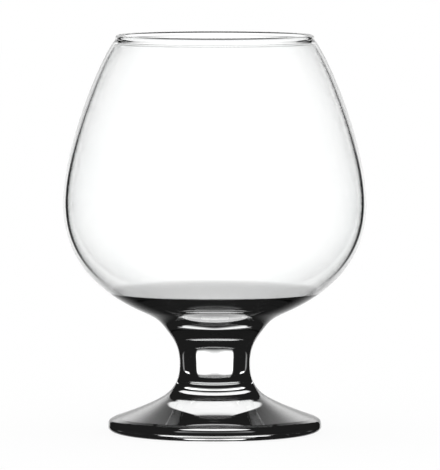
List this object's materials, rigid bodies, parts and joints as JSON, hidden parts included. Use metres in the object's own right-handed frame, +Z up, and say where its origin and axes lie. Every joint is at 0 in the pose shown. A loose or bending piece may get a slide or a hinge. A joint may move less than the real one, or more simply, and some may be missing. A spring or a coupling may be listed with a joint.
{
  "type": "brandy snifter",
  "caption": "Stemmed drinking glass with a wide belly that narrows to a rounded rim, on a short waisted stem and a heavy round foot that stands on a flat ring.",
  "frame": {"origin": "centre of the standing ring under the foot, in the plane of the table", "axes": "+Z up along the glass's axis of turning; X and Y are any two level directions, because the glass is round"},
  "size_m": [0.094, 0.094, 0.1232],
  "materials": {
    "blown_glass": "clear fire-polished soda-lime glass, blown",
    "pressed_glass": "clear fire-polished soda-lime glass, pressed, solid"
  },
  "bodies": {
    "root": {"bowl": "blown_glass", "stem": "pressed_glass", "foot": "pressed_glass"}
  },
  "joints": []
}
